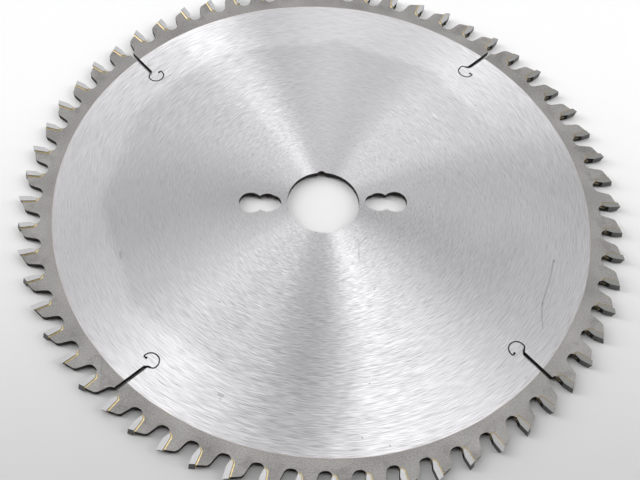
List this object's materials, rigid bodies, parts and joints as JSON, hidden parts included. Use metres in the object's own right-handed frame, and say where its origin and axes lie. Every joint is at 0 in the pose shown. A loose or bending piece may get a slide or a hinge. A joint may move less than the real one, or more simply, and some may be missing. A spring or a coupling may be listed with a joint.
{
  "type": "circular saw blade",
  "caption": "Flat round steel saw blade with a bore, drive pin slots, curled expansion slots and brazed carbide tips bevelled to alternate sides.",
  "frame": {"origin": "centre of the bore at half the plate's thickness", "axes": "+Z along the bore's axis towards the finished face, X through the drive pin holes, +Y through the bore's notch; seen from +Z the blade turns clockwise"},
  "size_m": [0.25, 0.25, 0.0032],
  "materials": {
    "plate_steel": "ground round and round, with a matt blasted band along the teeth",
    "carbide": "fine ground hard metal, dull grey",
    "braze": "satin pale gold, with a soft rounded fillet"
  },
  "bodies": {
    "root": {"blade_plate": "plate_steel", "tip_pair_01": "carbide", "tip_pair_02": "carbide", "tip_pair_03": "carbide", "tip_pair_04": "carbide", "tip_pair_05": "carbide", "tip_pair_06": "carbide", "tip_pair_07": "carbide", "tip_pair_08": "carbide", "tip_pair_09": "carbide", "tip_pair_10": "carbide", "tip_pair_11": "carbide", "tip_pair_12": "carbide", "tip_pair_13": "carbide", "tip_pair_14": "carbide", "tip_pair_15": "carbide", "tip_pair_16": "carbide", "tip_pair_17": "carbide", "tip_pair_18": "carbide", "tip_pair_19": "carbide", "tip_pair_20": "carbide", "tip_pair_21": "carbide", "tip_pair_22": "carbide", "tip_pair_23": "carbide", "tip_pair_24": "carbide", "tip_pair_25": "carbide", "tip_pair_26": "carbide", "tip_pair_27": "carbide", "tip_pair_28": "carbide", "tip_pair_29": "carbide", "tip_pair_30": "carbide", "braze_seams_1": "braze", "braze_seams_2": "braze", "braze_seams_3": "braze", "braze_seams_4": "braze"}
  },
  "joints": []
}
